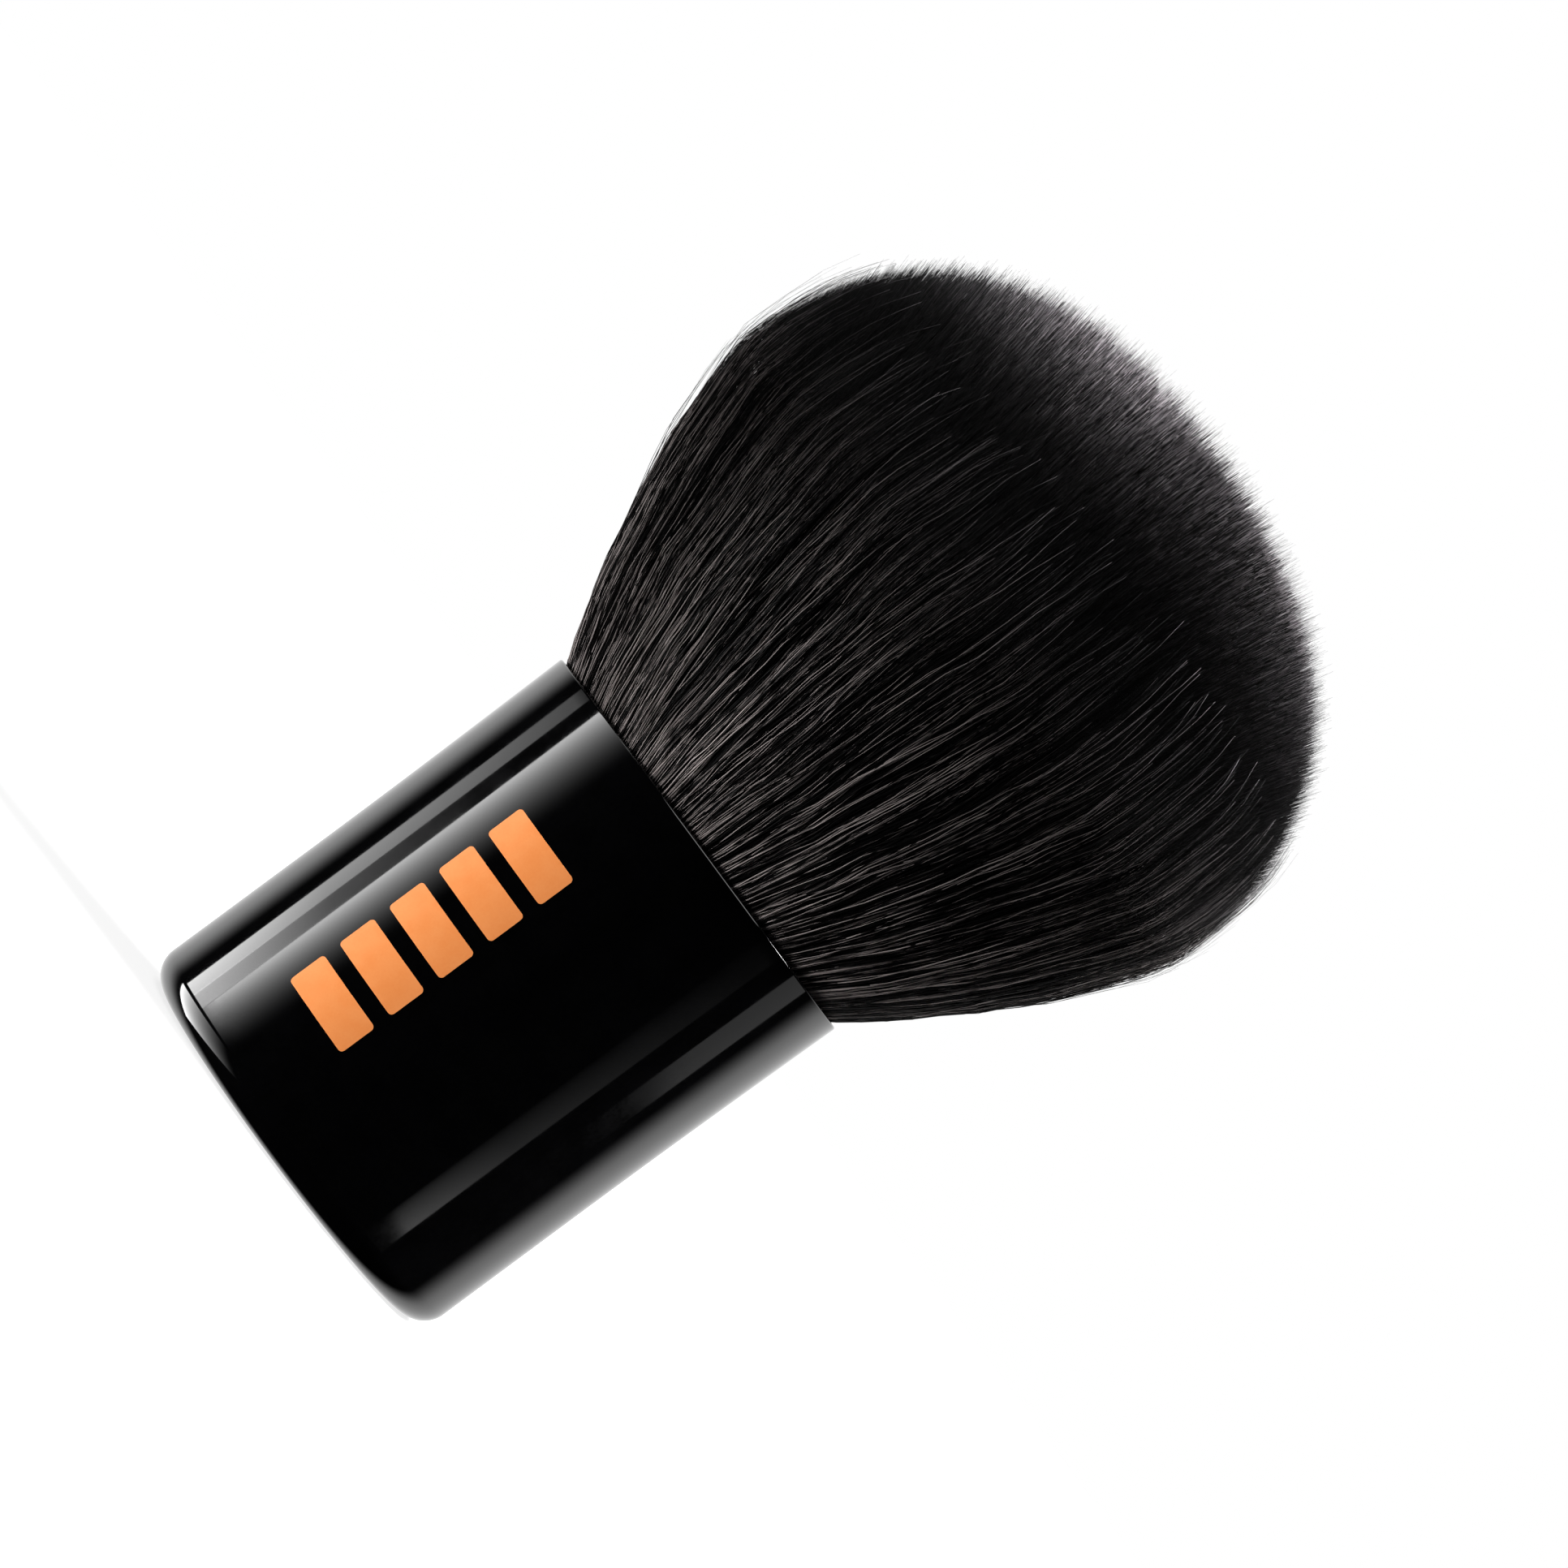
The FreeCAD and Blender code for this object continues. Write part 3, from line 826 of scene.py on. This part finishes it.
print(f"neighbours in number lie {math.degrees(GOLDEN_ANGLE):.1f} degrees apart")

# %% [markdown]
# ## Waves and clumps
# No filament is quite straight: it has a slow wave that its neighbours share, a fine crimp of its own,
# and it sticks to the next ones in a lock. Each of these is a small shift of the path. The locks come
# from a Voronoi texture, whose cells give every strand the middle of its lock to lean to.

# %% Waves and clumps
WAVE_ONSET = 0.25
CRIMP_ONSET = 0.05
CLUMP_RELEASE = (0.6, 1.0, 1.0, 0.3)


def wave_shift(tree, given, place, along):
    """A slow wave that neighbours share."""
    noise = noise_vector(tree, place, given["Wave length"])
    return noise.scaled(given["Wave"] * along.ramp(0.0, WAVE_ONSET))


def crimp_shift(tree, given, place, along, loose):
    """A fine crimp of a strand's own."""
    noise = noise_vector(tree, place.shift(loose), given["Crimp length"])
    return noise.scaled(given["Crimp"] * along.ramp(0.0, CRIMP_ONSET))


def clump_shift(tree, given, share, turn, along):
    """The pull towards the middle of a lock, which lets go a little at the tip."""
    flat = share * given["Head radius"]
    seat = vector(tree, flat * turn.math("COSINE"), flat * turn.math("SINE"), 0.0)
    cell_inputs = {"Vector": seat, "Scale": given["Clump size"] ** -1.0}
    cell = read(tree, "ShaderNodeTexVoronoi", "Position", cell_inputs, voronoi_dimensions="2D")
    pull = given["Clump"] * along.math("SQRT") * along.ramp(*CLUMP_RELEASE)
    return cell.shift(seat.scaled(-1.0)).scaled(pull)


print("shifts: wave, crimp, clump")

# %% [markdown]
# ## Skin of a strand
# A filament is round and tapers to a fine tip. A bevelled curve would give it a skin too, but no tone. So
# a three-sided section is swept along the path, which is round enough for a hair, and the tone and the
# place along the strand are captured on the way and stored as the UV map that the material reads.

# %% Skin of a strand
SECTION_SIDES = 3
TAPER_START = 0.45
GIRTH_SPREAD = 0.2
# Painted shade: the lightest tone of a strand falls between these shares of the mouth's radius.
SHADED_SHARES = (0.2, 0.8)
TONE_SEED = 7
MAP_MARGIN = 0.1
MAP_LENGTH = 0.9
WHOLE_LEAST = 4
WHOLE_MOST = 5
WHOLE_RESULT = 2


def tone_of(tree, given, number, share):
    """A random tone for each strand, darker away from the crown, as painted shade, where the kind has one.
    """
    lightest = given["Lightest tone"] - given["Shade"] * share.ramp(*SHADED_SHARES)
    inputs = {WHOLE_LEAST: given["Darkest tone"], WHOLE_MOST: lightest, "ID": number, "Seed": TONE_SEED}
    return read(tree, "FunctionNodeRandomValue", WHOLE_RESULT, inputs, data_type="INT")


def capture(tree, curve, facts):
    """A curve that carries named facts, and those facts as fields."""
    node = add_node(tree, "GeometryNodeCaptureAttribute", {"Geometry": curve})
    for name, source in facts.items():
        node.capture_items.new("FLOAT", name)
        plug(tree, node.inputs[name], source)
    return Field(tree, node.outputs[0]), [Field(tree, node.outputs[name]) for name in facts]


def skin_of(tree, curves, girth, along, tone):
    """Tubes along the strands, with the UV map. The section is 1 across, so that the girth scales it."""
    circle_inputs = {"Resolution": SECTION_SIDES, "Radius": 0.5}
    circle = read(tree, "GeometryNodeCurvePrimitiveCircle", "Curve", circle_inputs)
    factor = read(tree, "GeometryNodeSplineParameter", "Factor")
    strands, (strand_along, strand_tone) = capture(tree, curves, {"along": along, "tone": tone})
    section, (around,) = capture(tree, circle, {"around": factor})
    tube_inputs = {"Curve": strands, "Profile Curve": section, "Scale": girth, "Fill Caps": True}
    tube = read(tree, "GeometryNodeCurveToMesh", "Mesh", tube_inputs)
    map_x = (strand_tone + around * (1 - 2 * MAP_MARGIN) + MAP_MARGIN) / TONES
    map_place = vector(tree, map_x, strand_along * MAP_LENGTH, 0.0)
    store_inputs = {"Geometry": tube, "Name": HAIR_MAP}
    store = add_node(
        tree, "GeometryNodeStoreNamedAttribute", store_inputs, data_type="FLOAT2", domain="CORNER"
    )
    plug(tree, store.inputs["Value"], map_place)
    return read(tree, "GeometryNodeSetShadeSmooth", 0, {0: Field(tree, store.outputs[0])})


print("a strand has", SECTION_SIDES, "sides")


# %% Bristle tree
def make_bristle_tree():
    tree = bpy.data.node_groups.new("bristles", "GeometryNodeTree")
    tree.interface.new_socket("Geometry", in_out="OUTPUT", socket_type="NodeSocketGeometry")
    for name, kind in BRISTLE_INPUTS.items():
        tree.interface.new_socket(name, in_out="INPUT", socket_type=f"NodeSocket{kind}")
    given = {output.name: Field(tree, output) for output in add_node(tree, "NodeGroupInput").outputs}

    # One straight strand, copied.
    line = read(tree, "GeometryNodeCurvePrimitiveLine", "Curve")
    strand = read(tree, "GeometryNodeResampleCurve", "Curve", {"Curve": line, "Count": given["Points"]})
    copy_inputs = {"Geometry": strand, "Amount": given["Count"]}
    copies = add_node(tree, "GeometryNodeDuplicateElements", copy_inputs, domain="SPLINE")
    number = given["First"] + given["Every"] * Field(tree, copies.outputs["Duplicate Index"])

    # What belongs to each copy: its seat in the mouth and its own looseness.
    share, turn = seat_of(given, number)
    loose = random_vector(tree, number, given["Seed"])
    stray = random_vector(tree, number, given["Seed"] + 1.0)
    loose_turn, loose_length, loose_girth = loose.parts()

    # Its path, from where it starts to show to its tip.
    factor = read(tree, "GeometryNodeSplineParameter", "Factor")
    end = ((loose_length * 0.5 + 0.5).math("SQRT") * given["Uneven"]).one_minus()
    along = given["Start"] + (end - given["Start"]) * factor
    radius, level, far = path_of(given, share, along)
    twisted = turn + loose_turn * given["Twist"] * along
    x = radius * twisted.math("COSINE")
    y = radius * twisted.math("SINE")
    place = vector(tree, x, y, level - x * given["Crown tilt"] * far)

    # The shifts of that path.
    wave = wave_shift(tree, given, place, along)
    crimp = crimp_shift(tree, given, place, along, loose)
    pull = clump_shift(tree, given, share, turn, along)
    fray = stray.scaled(given["Fray"] * far)
    final = place.shift(wave).shift(crimp).shift(pull).shift(fray)
    move_inputs = {"Geometry": Field(tree, copies.outputs[0]), "Position": final}
    moved = read(tree, "GeometryNodeSetPosition", 0, move_inputs)

    # Its skin.
    taper = factor.ramp(TAPER_START, 1.0, 1.0, given["Tip share"])
    girth = given["Thickness"] * (loose_girth * GIRTH_SPREAD + 1.0) * taper
    skin = skin_of(tree, moved, girth, along, tone_of(tree, given, number, share))
    real = read(tree, "GeometryNodeRealizeInstances", 0, {0: skin})
    dyed = read(tree, "GeometryNodeSetMaterial", 0, {0: real, "Material": given["Material"]})
    plug(tree, add_node(tree, "NodeGroupOutput").inputs[0], dyed)
    return tree


bristle_tree = make_bristle_tree()
print("bristle tree:", len(bristle_tree.nodes), "nodes")

# %% [markdown]
# ## Growing the head
# All strands could be grown alike, but that would take far more of them than a mesh should hold. So there
# are five kinds. The skirt has the plain dark finish of painted shade and fills the flare from the mouth
# up. The veil lies over it: finer strands with painted flecks that leave the lip and climb the dome, as
# the outermost filaments do. Of the strands inside, only the ends show, so the crown has short stubs with
# two points each, and the down over them is much finer, for a soft edge. Some strays stand off the
# outline.
# Strands end at uneven lengths, so the dome of the longest tips is drawn a little above the CAD solid, and
# the edge then looks as high as the solid is.

# %% Shape of the head
BELLY_RISE = 23.2 * MM
MOUTH_SINK = 1.0 * MM
MOUTH_GAP = 0.15 * MM
MOUTH_SLOPE = 0.78
BELLY_MARGIN = 0.2 * MM
CROWN_LIFT = 1.1 * MM
HEAD = {
    "Mouth radius": lip_outside - WALL - MOUTH_GAP - MOUTH_SLOPE * MOUTH_SINK,
    "Mouth level": RIM_LEVEL - MOUTH_SINK,
    "Mouth slope": MOUTH_SLOPE,
    "Head radius": hair_high.x - BELLY_MARGIN,
    "Belly level": RIM_LEVEL + BELLY_RISE,
    "Dome rise": hair_high.z - RIM_LEVEL - BELLY_RISE + CROWN_LIFT,
    "Roundness": 0.87,
    "Reach": math.radians(97),
    "Crown tilt": 0.025,
}
print(f"dome of the longest tips: {(HEAD['Belly level'] + HEAD['Dome rise']) / MM:.1f} mm high")

# %% Kinds of strands
CROWN_INSET = 0.3 * MM
CROWN_SINK = 0.25 * MM
DOWN_OUTSET = 0.4 * MM
DOWN_LIFT = 0.5 * MM
SKIRT = {
    "Points": 10,
    "Seed": 11,
    "Inner share": 0.94,
    "Outer share": 0.985,
    "Climb": 0.1,
    "Start": 0.0,
    "Thickness": 0.14 * MM,
    "Tip share": 0.2,
    "Uneven": 0.2,
    "Twist": 0.14,
    "Fray": 0.6 * MM,
    "Wave": 0.3 * MM,
    "Wave length": 5.0 * MM,
    "Crimp": 0.18 * MM,
    "Crimp length": 2.6 * MM,
    "Clump": 0.5,
    "Clump size": 0.8 * MM,
    "Darkest tone": 0,
    "Lightest tone": 24,
    "Shade": 0,
    # The skirt takes the finish of painted shade.
    "Material": painted_shade,
}
VEIL = {
    **SKIRT,
    "Points": 17,
    "Seed": 17,
    "Inner share": 0.965,
    "Outer share": 1.0,
    "Climb": 0.35,
    "Thickness": 0.075 * MM,
    "Uneven": 0.35,
    "Clump": 0.45,
    "Clump size": 0.9 * MM,
    "Lightest tone": TONES - 1,
    "Material": hair,
}
CROWN = {
    **SKIRT,
    "Points": 2,
    "Seed": 23,
    "Inner share": 0.0,
    "Outer share": 0.84,
    "Head radius": HEAD["Head radius"] - CROWN_INSET,
    "Dome rise": HEAD["Dome rise"] - CROWN_SINK,
    "Climb": 0.0,
    "Start": 0.88,
    "Thickness": 0.095 * MM,
    "Tip share": 0.35,
    "Uneven": 0.05,
    "Fray": 0.2 * MM,
    "Wave": 0.15 * MM,
    "Clump": 0.1,
    "Clump size": 0.9 * MM,
    "Lightest tone": TONES - 1,
    "Shade": 40,
    "Material": hair,
}
DOWN = {
    **CROWN,
    "Seed": 31,
    "Outer share": 0.9,
    "Head radius": HEAD["Head radius"] + DOWN_OUTSET,
    "Dome rise": HEAD["Dome rise"] + DOWN_LIFT,
    "Thickness": 0.024 * MM,
    "Tip share": 0.4,
    "Fray": 0.25 * MM,
    "Clump": 0.0,
}
STRAYS = {
    **VEIL,
    "Points": 12,
    "Seed": 41,
    "Inner share": 0.96,
    "Thickness": 0.045 * MM,
    "Fray": 1.2 * MM,
    "Wave": 0.4 * MM,
    "Clump": 0.0,
    "Darkest tone": 20,
}
print("kinds of strands: skirt, veil, crown, down, strays")

# %% Grow the bristles
TIERS = (
    {"tier": "veil", "kind": VEIL, "total": 3800, "pieces": 2},
    {"tier": "skirt", "kind": SKIRT, "total": 3000, "pieces": 1},
    {"tier": "crown", "kind": CROWN, "total": 54000, "pieces": 3},
    {"tier": "down", "kind": DOWN, "total": 100000, "pieces": 5},
    {"tier": "strays", "kind": STRAYS, "total": 1400, "pieces": 1},
)


def grow(tier, kind, total, pieces, dealer):
    """One piece of the head. The strands of a kind are dealt out in turn, like cards, as plain meshes."""
    name = f"bristle_{tier}_{dealer + 1}"
    piece = bpy.data.objects.new(name, bpy.data.meshes.new(name))
    scene.collection.objects.link(piece)
    modifier = piece.modifiers.new("bristles", "NODES")
    modifier.node_group = bristle_tree
    deal = {"Count": total // pieces, "First": dealer, "Every": pieces, "Total": total}
    settings = {**HEAD, **kind, **deal}
    for socket in bristle_tree.interface.items_tree:
        if socket.in_out == "INPUT":
            modifier[socket.identifier] = settings[socket.name]
    view = bpy.context.evaluated_depsgraph_get()
    mesh = bpy.data.meshes.new_from_object(piece.evaluated_get(view))
    piece.modifiers.remove(modifier)
    piece.data = mesh
    mesh.name = name
    hand_over(piece, "bristle_bundle")
    return piece


for row in TIERS:
    for dealer in range(row["pieces"]):
        piece = grow(**row, dealer=dealer)
        triangles = sum(len(face.vertices) - 2 for face in piece.data.polygons)
        print(f"{piece.name}: {triangles} triangles")

# %% [markdown]
# ## Core of the head
# Real filaments stand so close that no light comes through the head. The strands here are fewer, and more
# of them would make the meshes too large. So a dark solid with the finish of painted shade fills the
# middle, just under the tips: it follows the path of the outermost strand up from the mouth, and then the
# dome.

# %% Core of the head
CORE_DEPTH = 1.8 * MM
CORE_FOOT = 4.0 * MM
CORE_STEPS = 24
CORE_TURN_STEPS = 96


def dome_point(polar, depth):
    """A point of the dome of tips, at an angle from the crown and a depth under it."""
    upright = math.cos(polar)
    radius = (HEAD["Head radius"] - depth) * math.sin(polar) ** HEAD["Roundness"]
    rise = (HEAD["Dome rise"] - depth) * math.copysign(abs(upright) ** HEAD["Roundness"], upright)
    return radius, HEAD["Belly level"] + rise


def skirt_point(along, depth):
    """A point of the outermost strand, by the path of the bristle tree, at a depth under it."""
    tip_radius, tip_level = dome_point(HEAD["Reach"], 0)
    root_radius = HEAD["Mouth radius"]
    root_level = HEAD["Mouth level"]
    half_chord = math.hypot(tip_radius - root_radius, tip_level - root_level) / 2
    step = half_chord / math.hypot(MOUTH_SLOPE, 1)
    near = (1 - along) ** 2
    middle = 2 * along * (1 - along)
    far = along ** 2
    radius = near * root_radius + middle * (root_radius + MOUTH_SLOPE * step) + far * tip_radius
    return radius - depth, near * root_level + middle * (root_level + step) + far * tip_level


shares = [step / CORE_STEPS for step in range(CORE_STEPS)]
foot_level = RIM_LEVEL - CORE_FOOT
core_profile = [(0, foot_level), (HEAD["Mouth radius"] - CORE_DEPTH, foot_level)]
core_profile += [skirt_point(share, CORE_DEPTH) for share in shares]
core_profile += [dome_point(HEAD["Reach"] * (1 - share), CORE_DEPTH) for share in shares]
core_profile.append(dome_point(0, CORE_DEPTH))
# The core takes the finish of painted shade.
core = turn_profile("bristle_core", core_profile, painted_shade, steps=CORE_TURN_STEPS)
hand_over(core, "bristle_bundle")
print(f"core: {len(core.data.polygons)} faces")

# %% [markdown]
# ## Pieces inside
# Nothing inside the handle shows from outside, but the model can be taken apart, so each hidden node gets
# the finish of its real material: foam tape, turned steel, moulded plastic, bare aluminium, amber epoxy
# and waxed thread. Their CAD shapes are right as they are, so only the material is changed. Turned and
# drawn metal has fine rings, which the grain gives when it is squeezed along the axis.

# %% Hidden pieces
TURNED_RINGS = (1, 1, 40)
DRAWN_RINGS = (1, 1, 30)
METAL = 1.0

foam_tape = make_finish(
    "foam_tape", dark=(0.70, 0.69, 0.64), light=(0.84, 0.83, 0.78), rough=(0.8, 0.95), scale=1600, bump=0.5
)
plain_steel = make_finish(
    "plain_steel",
    dark=(0.42, 0.42, 0.43),
    light=(0.58, 0.58, 0.59),
    rough=(0.22, 0.4),
    scale=60,
    stretch=TURNED_RINGS,
    bump=0.2,
    metallic=METAL,
)
moulded_core = make_finish(
    "moulded_core",
    dark=(0.05, 0.05, 0.054),
    light=(0.07, 0.07, 0.076),
    rough=(0.45, 0.6),
    scale=1200,
    bump=0.3,
)
bare_aluminium = make_finish(
    "bare_aluminium",
    dark=(0.66, 0.67, 0.68),
    light=(0.78, 0.79, 0.8),
    rough=(0.2, 0.38),
    scale=50,
    stretch=DRAWN_RINGS,
    bump=0.15,
    metallic=METAL,
)
epoxy = make_finish(
    "epoxy", dark=(0.52, 0.38, 0.17), light=(0.72, 0.56, 0.31), rough=(0.08, 0.2), scale=220, bump=0.2
)
waxed_thread = make_finish(
    "waxed_thread",
    dark=(0.58, 0.53, 0.43),
    light=(0.78, 0.73, 0.62),
    rough=(0.5, 0.7),
    scale=2200,
    bump=0.6,
)
HIDDEN = {
    "weight_tape": foam_tape,
    "base_weight": plain_steel,
    "core_insert": moulded_core,
    "knot_cup": bare_aluminium,
    "glue_plug": epoxy,
    "knot_tie": waxed_thread,
    "sealing_bead": epoxy,
}
for node, material in HIDDEN.items():
    slots = frame["nodes"][node].data.materials
    slots.clear()
    slots.append(material)
print("hidden pieces:", ", ".join(HIDDEN))
